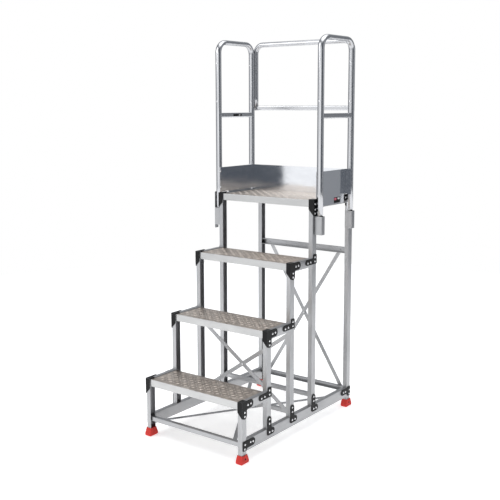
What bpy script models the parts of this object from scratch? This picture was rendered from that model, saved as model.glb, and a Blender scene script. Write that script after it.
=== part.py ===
"""Four-level stepped aluminium work platform with handrails, toe boards and riveted corner brackets.

Metres, +Z up, +X is the right-hand side, steps rise towards +Y, origin on the floor below the centre.
"""
from math import cos, hypot, pi, radians, sin

import bmesh
import bpy
from mathutils import Matrix, Vector

GAP = 0.0003                    # clearance left between neighbouring pieces

# overall layout
HALF_WIDTH = 0.307              # centre line to the outer face of a post
POST_X, POST_Y = 0.025, 0.036   # post section
INNER = HALF_WIDTH - POST_X     # centre line to the inner face of a post
WALL = 0.002                    # wall of every straight tube
POST_WALL = 0.0025              # posts are channels that open towards the centre of the frame
POST_REACH = HALF_WIDTH - POST_WALL - GAP   # centre line to the inside of a post's web
LEVELS = (0.3, 0.6, 0.9, 1.2)   # tops of the three steps and of the platform
POST_FRONTS = (-0.5, -0.3, -0.1, 0.1, 0.464)
POST_TOP = 0.0015               # post top above its own level

# base frame
BASE_RAIL_Z = (0.056, 0.113)
FOOT_HEIGHT = 0.041
FOOT_TOP = (0.0346, 0.0420)
FOOT_BOTTOM = (0.040, 0.060)
FOOT_SOLE = 0.012

# side rails and treads
RAIL_TOP, RAIL_BOTTOM = 0.002, -0.043
TREAD_HALF = 0.2805
TREAD_SHEET = 0.0025
TREAD_DROP = 0.033
NOSING_SET_BACK = 0.003
NOSING_HEIGHT = 0.036
NOSING_SHEET = 0.003
NOSING_FOOT = 0.015
DECK_END = 0.4997

# cross bars: centre in Y, lower and upper Z, depth in Y
CROSS_BARS = {
    "base_bar_front": (-0.481, 0.078, 0.102, 0.022),
    "base_bar_middle": (-0.078, 0.121, 0.143, 0.022),
    "base_bar_platform": (0.118, 0.155, 0.177, 0.022),
    "rear_bar_lower": (0.4790, 0.085, 0.109, 0.024),
    "rear_bar_upper": (0.4790, 0.872, 0.904, 0.024),
}

# braces
BRACE_SHEET = 0.003
BRACE_WIDTH = 0.021
BASE_BRACE_Z = 0.085
BASE_BRACE_FRONT = (0.238, -0.4697)
BASE_BRACE_REAR_Y = 0.370
MIDDLE_BRACE_Y = -0.0960
MIDDLE_BRACE_REACH = 0.290
MIDDLE_BRACE_Z = (0.130, 0.538)
REAR_BRACE_Y = 0.4913
REAR_BRACE_LOW = (0.251, 0.098)
REAR_BRACE_HIGH = (0.240, 0.887)
REAR_BAR_BOLT, REAR_BOLT_RISE = 0.240, -0.002

# brackets
PLATE = 0.0025                  # bracket sheet thickness
PLATE_FACE = HALF_WIDTH + GAP   # inner face of the side plates
PLATE_TOP = PLATE_FACE + PLATE
CAP_LOW, CAP_TOP = 0.002, 0.005
INSET = 0.0002                  # keeps the faces of joined plates from lying in one plane
PAD = 0.0015                    # pad that joins a plate to its rail: (y0, y1, z0, z1) from the post
RAIL_PAD = (-0.060, -0.004, -0.026, -0.004)
DECK_PAD = (-0.052, -0.006, -0.024, -0.003)
STRAP_PAD = (0.004, 0.050, 0.082, 0.106)
BASE_PADS = {1: (0.042, 0.094, 0.080, 0.104), 2: STRAP_PAD, 3: STRAP_PAD, 4: STRAP_PAD,
             5: (-0.055, -0.006, 0.082, 0.106)}

# handrails
RAIL_WIDE, RAIL_THIN = 0.036, 0.026   # oval tube: across the bend plane, in the bend plane
RAIL_WALL = 0.002
REAR_TUBE = 0.028                # round tube of the rear rail
SIDE_RAIL_X = HALF_WIDTH + 0.022
SIDE_RAIL_LEGS = (0.130, 0.432)
SIDE_RAIL_BOTTOM = 1.024
SHORT_LEG_BOTTOM = 1.165        # the left rear leg ends behind the platform's side rail
SIDE_RAIL_TOP = 2.033
SIDE_RAIL_RADIUS = 0.059
REAR_RAIL_X = HALF_WIDTH + 0.011
REAR_RAIL_Y = 0.4580
REAR_RAIL_BOTTOM = 1.650
REAR_RAIL_TOP = 2.033
REAR_RAIL_RADIUS = 0.049
MID_RAIL_Z = (1.6125, 1.6385)
MID_RAIL_WIDE = 0.025
REAR_MID_RAIL_Z = (1.6510, 1.6770)

# toe boards
TOE_SHEET = 0.002
TOE_X = HALF_WIDTH + 0.0015
TOE_TOP = 1.342
TOE_BOTTOM = 1.163
TOE_HEM = 0.015

TOE_START = {"left": 0.1110, "right": 0.1250}   # front ends of the side boards
TOE_Y = (0.1890, 0.3990, 0.4162)                # notch, notch, rear end
TOE_NOTCHES = (0.0065, 0.0080)  # lower edges at the front and rear notches, above the platform
TOE_BOLT_Y, TOE_BOLTS = 0.0056, (1.233, 1.320)  # bolts behind the front end, and their heights
REAR_TOE_Y = 0.4165

# sleeves on the lower ends of the side handrail legs
SLEEVE_Z = (1.022, 1.117)
SLEEVE_REACH, SLEEVE_SHEET = 0.0435, 0.0020
STRAP_Z = (1.003, 1.206)

# fasteners: spots are (Y from the post's front face, Z from the level or the floor)
LEG_BOLTS = (1.700, 1.905)
CORNER_RIVETS = ((0.067, -0.016), (0.044, -0.017), (0.019, -0.048), (0.019, -0.068))
PLATFORM_RIVETS = ((0.067, -0.016), (0.017, -0.020), (0.017, -0.048), (0.017, -0.069))
DECK_REAR_RIVETS = ((-0.014, -0.012), (-0.042, -0.012), (0.018, -0.030), (0.018, -0.060))
RAIL_RIVETS = ((-0.047, -0.018), (-0.021, -0.016), (0.019, -0.016), (0.019, 0.005))
STRAP_RIVETS = ((0.019, 0.158), (0.019, 0.135), (0.019, 0.092), (0.043, 0.091))
BASE_RIVETS = {
    1: ((0.020, 0.093), (0.018, 0.071), (0.064, 0.093), (0.084, 0.091)),
    2: STRAP_RIVETS,
    3: STRAP_RIVETS,
    4: STRAP_RIVETS,
    5: ((-0.037, 0.092), (-0.016, 0.092), (0.026, 0.071), (0.026, 0.094)),
}
RIVET_RADIUS, RIVET_HEIGHT = 0.0052, 0.0023
BOLT_RADIUS, BOLT_HEIGHT = 0.0050, 0.0030
HEAD_SINK = 0.0010
HEAD_SEGMENTS = 8

ALUMINIUM = ((0.70, 0.71, 0.73), 0.32, 1.0)
SHEET = ((0.78, 0.79, 0.81), 0.14, 1.0)
TREAD = ((0.62, 0.60, 0.57), 0.38, 1.0)
BLACK = ((0.018, 0.018, 0.020), 0.45, 0.0)
RED = ((0.62, 0.050, 0.045), 0.42, 0.0)

SIDES = (("left", -1), ("right", 1))
ALONG = {"X": (pi / 2, 0, pi / 2), "Y": (pi / 2, 0, 0), "Z": (0, 0, 0)}


def clear_scene():
    for obj in list(bpy.data.objects):
        bpy.data.objects.remove(obj, do_unlink=True)


def new_collection(name):
    collection = bpy.data.collections.new(name)
    bpy.context.scene.collection.children.link(collection)
    return collection


def new_material(name, look):
    colour, roughness, metallic = look
    material = bpy.data.materials.new(name)
    material.use_nodes = True
    shader = material.node_tree.nodes["Principled BSDF"]
    shader.inputs["Base Color"].default_value = (*colour, 1)
    shader.inputs["Roughness"].default_value = roughness
    shader.inputs["Metallic"].default_value = metallic
    return material


def add_node(name, data, look, location=(0, 0, 0), along="Z"):
    obj = bpy.data.objects.new(name, data)
    obj.location = location
    obj.rotation_euler = ALONG[along]
    data.materials.clear()
    data.materials.append(new_material(name, look))
    PARTS.objects.link(obj)
    return obj


def add_cutter(name, data, location=(0, 0, 0), along="Z"):
    obj = bpy.data.objects.new(name, data)
    obj.location = location
    obj.rotation_euler = ALONG[along]
    obj.hide_render = True
    obj.display_type = 'WIRE'
    CUTTERS.objects.link(obj)
    return obj


def boolean(obj, operation, other):
    modifier = obj.modifiers.new(operation.lower(), 'BOOLEAN')
    modifier.operation = operation
    modifier.solver = 'EXACT'
    modifier.object = other


# ---------------------------------------------------------------- outlines and meshes

def arc(centre, radius, start, end, steps):
    """Points of an arc, angles in degrees, both ends included."""
    angles = [radians(start + (end - start) * i / steps) for i in range(steps + 1)]
    return [(centre[0] + radius * cos(a), centre[1] + radius * sin(a)) for a in angles]


def rectangle(width, height, radius, steps=2):
    """Rounded rectangle centred on the origin."""
    u, v = width / 2 - radius, height / 2 - radius
    corners = ((u, v, 0), (-u, v, 90), (-u, -v, 180), (u, -v, 270))
    return [p for x, y, a in corners for p in arc((x, y), radius, a, a + 90, steps)]


def oval(width, height, steps=20):
    turns = [2 * pi * i / steps for i in range(steps)]
    return [(width / 2 * cos(t), height / 2 * sin(t)) for t in turns]


def box_outline(u0, u1, v0, v1):
    return [(u0, v0), (u1, v0), (u1, v1), (u0, v1)]


def shifted(points, du, dv):
    return [(u + du, v + dv) for u, v in points]


def add_spline(curve, points):
    spline = curve.splines.new('POLY')
    spline.points.add(len(points) - 1)
    for point, (u, v) in zip(spline.points, points):
        point.co = (u, v, 0, 1)
    return spline


def outline_mesh(name, loops, depth):
    """Closed solid from an outer loop and any holes, centred on its own plane."""
    curve = bpy.data.curves.new(name, 'CURVE')
    curve.dimensions = '2D'
    curve.fill_mode = 'BOTH'
    curve.extrude = depth / 2
    for loop in loops:
        add_spline(curve, loop).use_cyclic_u = True
    source = bpy.data.objects.new(name + "_outline", curve)
    CUTTERS.objects.link(source)
    depsgraph = bpy.context.evaluated_depsgraph_get()
    mesh = bpy.data.meshes.new_from_object(source.evaluated_get(depsgraph))
    bpy.data.objects.remove(source, do_unlink=True)
    weld(mesh, flat_faces=True)
    mesh.name = name
    return mesh


def weld(mesh, flat_faces=False):
    """Close the seams of a converted curve; flat_faces makes one face of each flat side."""
    bm = bmesh.new()
    bm.from_mesh(mesh)
    bmesh.ops.remove_doubles(bm, verts=bm.verts, dist=1e-6)
    if flat_faces:
        bmesh.ops.dissolve_limit(bm, angle_limit=radians(0.1), verts=bm.verts, edges=bm.edges)
    bmesh.ops.recalc_face_normals(bm, faces=bm.faces)
    bm.to_mesh(mesh)
    bm.free()


def tube(name, look, width, height, length, location, along, radius=0.003):
    """Straight tube with open ends; width and height are its profile's own two directions."""
    outer = rectangle(width, height, radius)
    inner = rectangle(width - 2 * WALL, height - 2 * WALL, max(radius - WALL, 0.0008))
    return add_node(name, outline_mesh(name, [outer, inner], length), look, location, along)


def strip(p, q, width, cut_p=None, cut_q=None):
    """Outline of a flat bar from p to q; a cut of 0 or 1 ends it on that coordinate's line."""
    du, dv = q[0] - p[0], q[1] - p[1]
    length = hypot(du, dv)
    du, dv = du / length, dv / length

    def end(point, side, cut):
        u, v = point[0] - dv * side * width / 2, point[1] + du * side * width / 2
        if cut is None:
            return u, v
        step = (point[cut] - (u, v)[cut]) / (du, dv)[cut]
        return u + du * step, v + dv * step

    return [end(p, -1, cut_p), end(q, -1, cut_q), end(q, 1, cut_q), end(p, 1, cut_p)]


def add_heads(obj, name, spots, direction, radius, height):
    """Join low fastener heads to an object, each sunk a little into the face that it stands on."""
    toward = Vector(direction)
    bm = bmesh.new()
    for spot in spots:
        centre = Vector(spot) + toward * (height - HEAD_SINK) / 2
        turn = toward.to_track_quat('Z', 'Y').to_matrix().to_4x4()
        bmesh.ops.create_cone(bm, cap_ends=True, segments=HEAD_SEGMENTS, radius1=radius,
                              radius2=radius * 0.6, depth=height + HEAD_SINK,
                              matrix=Matrix.Translation(centre) @ turn)
    mesh = bpy.data.meshes.new(name)
    bm.to_mesh(mesh)
    bm.free()
    boolean(obj, 'UNION', add_cutter(name, mesh))


# ---------------------------------------------------------------- frame

def post_section(sign):
    """Channel with rounded outer corners, its web on the side that sign says."""
    u, v, radius = POST_X / 2, POST_Y / 2, 0.003
    points = ([(-u, v)] + arc((u - radius, v - radius), radius, 90, 0, 3)
              + arc((u - radius, radius - v), radius, 0, -90, 3) + [(-u, -v), (-u, POST_WALL - v)]
              + [(u - POST_WALL, POST_WALL - v), (u - POST_WALL, v - POST_WALL), (-u, v - POST_WALL)])
    return [(sign * x, y) for x, y in points]


def posts():
    for number, (front, level) in enumerate(zip(POST_FRONTS, LEVELS + LEVELS[-1:]), 1):
        on_floor = number in (1, 5)
        bottom = FOOT_SOLE + GAP if on_floor else BASE_RAIL_Z[1] + GAP
        top = level + POST_TOP
        for side, sign in SIDES:
            centre = (sign * (INNER + HALF_WIDTH) / 2, front + POST_Y / 2, (bottom + top) / 2)
            name = f"post_{number}_{side}"
            add_node(name, outline_mesh(name, [post_section(sign)], top - bottom), ALUMINIUM, centre)


def feet():
    """Tapered boots with a pocket for the post."""
    for place, front in (("front", POST_FRONTS[0]), ("rear", POST_FRONTS[-1])):
        for side, sign in SIDES:
            name = f"foot_{place}_{side}"
            bm = bmesh.new()
            bmesh.ops.create_cube(bm, size=1)
            for v in bm.verts:
                wide, deep = FOOT_TOP if v.co.z > 0 else FOOT_BOTTOM
                v.co = (v.co.x * wide, v.co.y * deep, (v.co.z + 0.5) * FOOT_HEIGHT)
            mesh = bpy.data.meshes.new(name)
            bm.to_mesh(mesh)
            bm.free()
            x, y = sign * (INNER + HALF_WIDTH) / 2, front + POST_Y / 2
            foot = add_node(name, mesh, RED, (x, y, 0))
            edges = foot.modifiers.new("rounded edges", 'BEVEL')
            edges.width = 0.0015
            edges.segments = 2
            around_post = rectangle(POST_X + 2 * GAP, POST_Y + 2 * GAP, 0.0006)
            pocket = outline_mesh(name + "_pocket", [around_post], 0.060)
            boolean(foot, 'DIFFERENCE', add_cutter(name + "_pocket", pocket, (x, y, FOOT_SOLE + 0.030)))


def base_rails():
    """Bottom side rails, each with the five plates that tie it to the posts."""
    start, end = POST_FRONTS[0] + POST_Y + GAP, POST_FRONTS[-1] - GAP
    low, high = BASE_RAIL_Z
    for side, sign in SIDES:
        name = f"base_rail_{side}"
        centre = (sign * (INNER + HALF_WIDTH) / 2, (start + end) / 2, (low + high) / 2)
        rail = tube(name, ALUMINIUM, POST_X, high - low, end - start, centre, "Y")
        for number, outline in base_plate_outlines().items():
            front = POST_FRONTS[number - 1]
            add_plate(rail, f"{name}_plate_{number}", outline, (sign, front, 0), BASE_PADS[number])
            spots = [(sign * PLATE_TOP, front + y, z) for y, z in BASE_RIVETS[number]]
            add_heads(rail, f"{name}_rivets_{number}", spots, (sign, 0, 0), RIVET_RADIUS, RIVET_HEIGHT)


def side_rails():
    """Rails under the treads, each with the plate that ties its rear end to the next post."""
    for number, level in enumerate(LEVELS, 1):
        start = POST_FRONTS[number - 1] + POST_Y + GAP
        end = POST_FRONTS[number] - GAP
        for side, sign in SIDES:
            name = f"side_rail_{number}_{side}"
            centre = (sign * (INNER + HALF_WIDTH) / 2, (start + end) / 2,
                      level + (RAIL_TOP + RAIL_BOTTOM) / 2)
            rail = tube(name, ALUMINIUM, POST_X, RAIL_TOP - RAIL_BOTTOM, end - start, centre, "Y")
            place = (sign, POST_FRONTS[number], level)
            if number < len(LEVELS):
                add_plate(rail, name + "_plate", rail_plate_outline(), place, RAIL_PAD)
                rivets = RAIL_RIVETS
            else:
                add_plate(rail, name + "_plate", deck_side_outline(), place, DECK_PAD)
                add_returns(rail, name, place, RAIL_BOTTOM - GAP, -0.0600, GAP)
                rivets = DECK_REAR_RIVETS
            spots = [(sign * PLATE_TOP, place[1] + y, level + z) for y, z in rivets]
            add_heads(rail, name + "_rivets", spots, (sign, 0, 0), RIVET_RADIUS, RIVET_HEIGHT)


def cross_bars():
    """Tubes between the posts of the base, and two channels at the back that open to the front."""
    for name, (y, low, high, deep) in CROSS_BARS.items():
        length, place = 2 * POST_REACH, (0, y, (low + high) / 2)
        if name.startswith("rear"):
            u, v = deep / 2, (high - low) / 2
            channel = [(-u, -v), (u, -v), (u, v), (-u, v), (-u, v - WALL), (u - WALL, v - WALL),
                       (u - WALL, WALL - v), (-u, WALL - v)]
            bar = add_node(name, outline_mesh(name, [channel], length), ALUMINIUM, place, "X")
            spots = [(side * REAR_BAR_BOLT, y + u - WALL, place[2] + REAR_BOLT_RISE) for side in (-1, 1)]
            add_heads(bar, name + "_bolts", spots, (0, -1, 0), BOLT_RADIUS, BOLT_HEIGHT)
        else:
            tube(name, ALUMINIUM, deep, high - low, length, place, "X", 0.0025)


def braces():
    reach = INNER - GAP
    step = BRACE_SHEET + GAP
    for index, sign in enumerate((1, -1)):
        letter = "ab"[index]
        front = (-sign * BASE_BRACE_FRONT[0], BASE_BRACE_FRONT[1])
        flat = strip(front, (sign * reach, BASE_BRACE_REAR_Y), BRACE_WIDTH, 1, 0)
        name = f"base_brace_{letter}"
        add_node(name, outline_mesh(name, [flat], BRACE_SHEET), ALUMINIUM,
                 (0, 0, BASE_BRACE_Z + index * step))
        flat = strip((-sign * MIDDLE_BRACE_REACH, MIDDLE_BRACE_Z[0]),
                     (sign * MIDDLE_BRACE_REACH, MIDDLE_BRACE_Z[1]), BRACE_WIDTH, 0, 0)
        name = f"middle_brace_{letter}"
        add_node(name, outline_mesh(name, [flat], BRACE_SHEET), ALUMINIUM,
                 (0, MIDDLE_BRACE_Y + BRACE_SHEET / 2 + index * step, 0), "Y")
        low = (-sign * REAR_BRACE_LOW[0], REAR_BRACE_LOW[1])
        high = (sign * REAR_BRACE_HIGH[0], REAR_BRACE_HIGH[1])
        name = f"rear_brace_{letter}"
        add_node(name, outline_mesh(name, [strip(low, high, BRACE_WIDTH)], BRACE_SHEET), ALUMINIUM,
                 (0, REAR_BRACE_Y + BRACE_SHEET / 2 + index * step, 0), "Y")


# ---------------------------------------------------------------- treads

def treads():
    """Checker-plate trays with their flanges folded down."""
    names = ("tread_1", "tread_2", "tread_3", "platform_deck")
    ends = [front - GAP for front in POST_FRONTS[1:4]] + [DECK_END]
    for name, level, front, end in zip(names, LEVELS, POST_FRONTS, ends):
        start = front + NOSING_SET_BACK + NOSING_SHEET + GAP
        bm = bmesh.new()
        bmesh.ops.create_cube(bm, size=1)
        for v in bm.verts:
            v.co = (v.co.x * 2 * TREAD_HALF, v.co.y * (end - start), (v.co.z - 0.5) * TREAD_DROP)
        below = [f for f in bm.faces if f.normal.z < -0.9]
        bmesh.ops.delete(bm, geom=below, context='FACES_ONLY')
        mesh = bpy.data.meshes.new(name)
        bm.to_mesh(mesh)
        bm.free()
        tread = add_node(name, mesh, TREAD, (0, (start + end) / 2, level))
        folds = tread.modifiers.new("folds", 'BEVEL')
        folds.width = 0.003
        folds.segments = 2
        sheet = tread.modifiers.new("sheet", 'SOLIDIFY')
        sheet.thickness = TREAD_SHEET
        sheet.offset = -1


def nosings():
    """Front edge profile of each tread: a web with a foot turned in below the tray."""
    for number, (front, level) in enumerate(zip(POST_FRONTS, LEVELS), 1):
        face, back = NOSING_SET_BACK, NOSING_SET_BACK + NOSING_SHEET
        low = -NOSING_HEIGHT
        outline = [(back, 0.0), (back, low + 0.0025), (back + NOSING_FOOT, low + 0.0025),
                   (back + NOSING_FOOT, low), (face + 0.001, low), (face, low + 0.001)]
        outline += arc((face + 0.0015, -0.0015), 0.0015, 180, 90, 3)
        name = f"nosing_{number}"
        add_node(name, outline_mesh(name, [outline], 2 * TREAD_HALF), ALUMINIUM, (0, front, level), "X")


# ---------------------------------------------------------------- brackets

def corner_side_outline():
    """Side plate of a corner bracket: an arm along the rail and a tail down the post."""
    return ([(INSET - PLATE - GAP, CAP_TOP)] + arc((0.066, -0.0155), 0.0205, 90, -90, 6)
            + arc((0.044, -0.044), 0.008, 90, 180, 3) + arc((0.018, -0.064), 0.018, 0, -120, 5)
            + [(INSET - PLATE - GAP, -0.0740)])


def deck_side_outline():
    """Side plate of the rear platform bracket, measured from the rear post's front face."""
    return ([(0.036, CAP_TOP)] + arc((0.018, -0.064), 0.018, 0, -120, 5)
            + [(INSET - PLATE - GAP, -0.0740), (INSET - PLATE - GAP, -0.028)]
            + arc((-0.0475, -0.0115), 0.0165, 270, 90, 6))


def rail_plate_outline():
    """Flat plate tying a side rail to the next post, measured from that post's front face."""
    return ([(0.036, -0.030), (0.036, 0.013)] + arc((0.028, 0.013), 0.008, 0, 90, 3)
            + arc((0.012, 0.013), 0.008, 90, 180, 3) + arc((-0.002, 0.007), 0.006, 0, -90, 3)
            + arc((-0.0515, -0.0145), 0.0155, 90, 270, 6))


def base_plate_outlines():
    """Base plates by post number, Y from the post's front face, Z from the floor."""
    first = (arc((0.012, 0.069), 0.008, 180, 270, 3) + arc((0.026, 0.069), 0.008, 270, 335, 3)
             + [(0.040, 0.072)] + arc((0.082, 0.091), 0.019, -90, 90, 6) + [(0.004, 0.110)])
    strap = (arc((0.010, 0.087), 0.010, 180, 270, 3) + arc((0.046, 0.0935), 0.0165, -90, 90, 6)
             + arc((0.044, 0.118), 0.008, 270, 180, 3) + arc((0.018, 0.155), 0.018, 0, 180, 6))
    last = ([(0.036, 0.107)] + arc((0.028, 0.107), 0.008, 0, 90, 3) + arc((0.012, 0.107), 0.008, 90, 150, 3)
            + [(-0.002, 0.111)] + arc((-0.046, 0.094), 0.017, 90, 270, 6) + [(-0.002, 0.077)]
            + arc((0.012, 0.069), 0.008, 210, 270, 3) + arc((0.028, 0.069), 0.008, 270, 360, 3))
    return {1: first, 2: strap, 3: strap, 4: strap, 5: last}


def add_plate(rail, name, outline, place, pad):
    """Join a side plate to a rail; a pad bridges the gap that the plate keeps to the posts."""
    sign, front, level = place
    bridge = outline_mesh(name + "_pad", [box_outline(*pad)], PAD)
    boolean(rail, 'UNION', add_cutter(name + "_pad", bridge, (sign * HALF_WIDTH, front, level), "X"))
    plate = outline_mesh(name, [outline], PLATE)
    boolean(rail, 'UNION', add_cutter(name, plate, (sign * (PLATE_FACE + PLATE / 2), front, level), "X"))


def add_returns(obj, name, place, top, inner_low, cap_start):
    """Join a bracket's front plate, slanted along its lower edge, and its cap over the post."""
    sign, front, level = place
    inner, outer = sign * INNER, sign * (PLATE_TOP - INSET)
    face = [(inner, top), (outer, top), (outer, -0.0770), (inner, inner_low)]
    mesh = outline_mesh(name + "_front", [face], PLATE)
    boolean(obj, 'UNION', add_cutter(name + "_front", mesh, (0, front - GAP - PLATE / 2, level), "Y"))
    cap = box_outline(inner, outer - sign * INSET, cap_start, POST_Y - INSET)
    mesh = outline_mesh(name + "_cap", [cap], CAP_TOP - CAP_LOW - INSET)
    middle = level + (CAP_TOP + CAP_LOW - INSET) / 2
    boolean(obj, 'UNION', add_cutter(name + "_cap", mesh, (0, front, middle)))


def corner_brackets():
    """Riveted corner brackets: side plate along the rail and the post, front plate and top cap."""
    for number, level in enumerate(LEVELS, 1):
        front = POST_FRONTS[number - 1]
        rivets = CORNER_RIVETS if number < len(LEVELS) else PLATFORM_RIVETS
        for side, sign in SIDES:
            name = f"corner_bracket_{number}_{side}"
            mesh = outline_mesh(name, [corner_side_outline()], PLATE)
            bracket = add_node(name, mesh, BLACK, (sign * (PLATE_FACE + PLATE / 2), front, level), "X")
            place, high = (sign, front, level), CAP_TOP - 2 * INSET
            add_returns(bracket, name, place, high, -0.0470, INSET - PLATE - GAP)
            spots = [(sign * PLATE_TOP, front + y, level + z) for y, z in rivets]
            add_heads(bracket, name + "_rivets", spots, (sign, 0, 0), RIVET_RADIUS, RIVET_HEIGHT)


# ---------------------------------------------------------------- handrails

def bent_tube(name, size, legs, bottom, top, radius, location, along, second_leg=0):
    """Inverted U of tube, its size in and across the bend plane; the second leg may start higher."""
    a, b = legs
    height = top - size[0] / 2 - bottom
    path = [(a, 0)] + arc((a + radius, height - radius), radius, 180, 90, 6)
    path += arc((b - radius, height - radius), radius, 90, 0, 6) + [(b, second_leg)]
    section = bpy.data.curves.new(name + "_section", 'CURVE')
    add_spline(section, oval(*size)).use_cyclic_u = True
    guide = add_cutter(name + "_section", section)
    curve = bpy.data.curves.new(name, 'CURVE')
    curve.dimensions = '3D'
    curve.twist_mode = 'Z_UP'
    curve.bevel_mode = 'OBJECT'
    curve.bevel_object = guide
    add_spline(curve, path)
    source = add_cutter(name + "_path", curve)
    wall = source.modifiers.new("tube wall", 'SOLIDIFY')
    wall.thickness = RAIL_WALL
    wall.offset = 1
    depsgraph = bpy.context.evaluated_depsgraph_get()
    mesh = bpy.data.meshes.new_from_object(source.evaluated_get(depsgraph))
    mesh.name = name
    for helper in (source, guide):
        bpy.data.objects.remove(helper, do_unlink=True)
    weld(mesh)
    mesh.shade_smooth()
    mesh.set_sharp_from_angle(angle=radians(40))
    return add_node(name, mesh, ALUMINIUM, location, along)


def leg_cutter(name, x, y, x_size, y_size, low, high):
    outline = shifted(oval(x_size + 2 * GAP, y_size + 2 * GAP), x, y)
    mesh = outline_mesh(name, [outline], high - low + 0.02)
    return add_cutter(name, mesh, (0, 0, (low + high) / 2))


def coped_bar(name, along, section, centre, length, legs, leg_size):
    """Straight bar whose ends are cut to the curve of the legs it meets."""
    bar = add_node(name, outline_mesh(name, [rectangle(*section, 0.006)], length), ALUMINIUM, centre, along)
    low, high = centre[2] - section[1] / 2, centre[2] + section[1] / 2
    for index, (x, y) in enumerate(legs):
        boolean(bar, 'DIFFERENCE', leg_cutter(f"{name}_cope_{index}", x, y, *leg_size, low, high))


def handrails():
    """Three inverted U rails with their lower bars; the rear one stands behind the side rails' rear legs."""
    front, rear = SIDE_RAIL_LEGS
    leg_face = RAIL_THIN / 2
    for side, sign in SIDES:
        x = sign * SIDE_RAIL_X
        name = f"side_handrail_{side}"
        raised = SHORT_LEG_BOTTOM - SIDE_RAIL_BOTTOM if sign < 0 else 0
        rail = bent_tube(name, (RAIL_THIN, RAIL_WIDE), SIDE_RAIL_LEGS, SIDE_RAIL_BOTTOM, SIDE_RAIL_TOP,
                         SIDE_RAIL_RADIUS, (x, 0, SIDE_RAIL_BOTTOM), "X", raised)
        add_sleeves(rail, name, sign)
        spots = [(x, leg - leg_face, z) for leg in SIDE_RAIL_LEGS for z in LEG_BOLTS]
        add_heads(rail, name + "_bolts", spots, (0, -1, 0), BOLT_RADIUS, BOLT_HEIGHT)
        low, high = MID_RAIL_Z
        coped_bar(f"side_midrail_{side}", "Y", (MID_RAIL_WIDE, high - low),
                  (x, (front + rear) / 2, (low + high) / 2), rear - front - 0.010,
                  ((x, front), (x, rear)), (RAIL_WIDE, RAIL_THIN))
    bent_tube("rear_handrail", (REAR_TUBE, REAR_TUBE), (-REAR_RAIL_X, REAR_RAIL_X),
              REAR_RAIL_BOTTOM, REAR_RAIL_TOP, REAR_RAIL_RADIUS, (0, REAR_RAIL_Y, REAR_RAIL_BOTTOM), "Y")
    low, high = REAR_MID_RAIL_Z
    coped_bar("rear_midrail", "X", (MID_RAIL_WIDE, high - low), (0, REAR_RAIL_Y, (low + high) / 2),
              2 * REAR_RAIL_X - 0.010, ((-REAR_RAIL_X, REAR_RAIL_Y), (REAR_RAIL_X, REAR_RAIL_Y)),
              (REAR_TUBE, REAR_TUBE))


def add_sleeves(rail, name, sign):
    """U-shaped sleeves pressed on the long legs' lower ends; the front left one has a longer web."""
    low, high = SLEEVE_Z
    near, far = sign * (PLATE_FACE + 0.0007), sign * (HALF_WIDTH + SLEEVE_REACH)
    web, inner = sign * SLEEVE_SHEET, RAIL_THIN / 2 - GAP
    outer = inner + SLEEVE_SHEET
    outline = [(near, inner), (far - web, inner), (far - web, -inner), (near, -inner),
               (near, -outer), (far, -outer), (far, outer), (near, outer)]
    for index, leg in enumerate(SIDE_RAIL_LEGS[:1] if sign < 0 else SIDE_RAIL_LEGS):
        mesh = outline_mesh(f"{name}_sleeve_{index}", [outline], high - low)
        boolean(rail, 'UNION', add_cutter(mesh.name, mesh, (0, leg, (low + high) / 2)))
    if sign < 0:
        low, high = STRAP_Z
        strap = rectangle(2 * (outer - INSET), high - low, 0.003)
        mesh = outline_mesh(name + "_strap", [strap], SLEEVE_SHEET - 2 * INSET)
        place = (far - web / 2, SIDE_RAIL_LEGS[0], (low + high) / 2)
        boolean(rail, 'UNION', add_cutter(mesh.name, mesh, place, "X"))


# ---------------------------------------------------------------- toe boards

def toe_boards():
    """Side boards with a folded top edge, notched over the brackets, and a plain rear board."""
    notch, rear_notch = (LEVELS[-1] + rise for rise in TOE_NOTCHES)
    clear_front, clear_rear, end = TOE_Y
    for side, sign in SIDES:
        name, start = f"toe_board_{side}", TOE_START[side]
        outline = [(start, notch), (clear_front, notch), (clear_front, TOE_BOTTOM), (clear_rear, TOE_BOTTOM),
                   (clear_rear, rear_notch), (end, rear_notch), (end, TOE_TOP), (start, TOE_TOP)]
        x = sign * (TOE_X + TOE_SHEET / 2)
        board = add_node(name, outline_mesh(name, [outline], TOE_SHEET), SHEET, (x, 0, 0), "X")
        fold = box_outline(start + GAP, end - GAP, TOE_TOP - TOE_HEM, TOE_TOP - GAP)
        hem = outline_mesh(name + "_hem", [fold], 1.3 * TOE_SHEET)
        boolean(board, 'UNION', add_cutter(name + "_hem", hem, (sign * (TOE_X - TOE_SHEET / 2), 0, 0), "X"))
        spots = [(sign * TOE_X, start + TOE_BOLT_Y, z) for z in TOE_BOLTS]
        add_heads(board, name + "_bolts", spots, (-sign, 0, 0), BOLT_RADIUS, BOLT_HEIGHT)
    half, wide, low = TREAD_HALF, HALF_WIDTH + 0.036, LEVELS[-1]
    outline = [(-wide, low + 0.007), (-half, low + 0.007), (-half, low + 0.0005), (half, low + 0.0005),
               (half, low + 0.007), (wide, low + 0.007), (wide, TOE_TOP), (-wide, TOE_TOP)]
    add_node("toe_board_rear", outline_mesh("toe_board_rear", [outline], TOE_SHEET), SHEET,
             (0, REAR_TOE_Y + TOE_SHEET / 2, 0), "Y")


clear_scene()
PARTS = new_collection("stepped_work_platform")
CUTTERS = new_collection("cutters")
posts()
feet()
base_rails()
side_rails()
cross_bars()
braces()
treads()
nosings()
corner_brackets()
handrails()
toe_boards()
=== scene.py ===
"""Looks of the stepped work platform: finishes, detailed pieces, studio and camera.

Metres, +Z up, +X is the right-hand side, steps rise towards +Y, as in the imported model.
"""
from math import cos, pi, radians, sin

import bmesh
import bpy
from mathutils import Euler, Matrix, Vector


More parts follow.
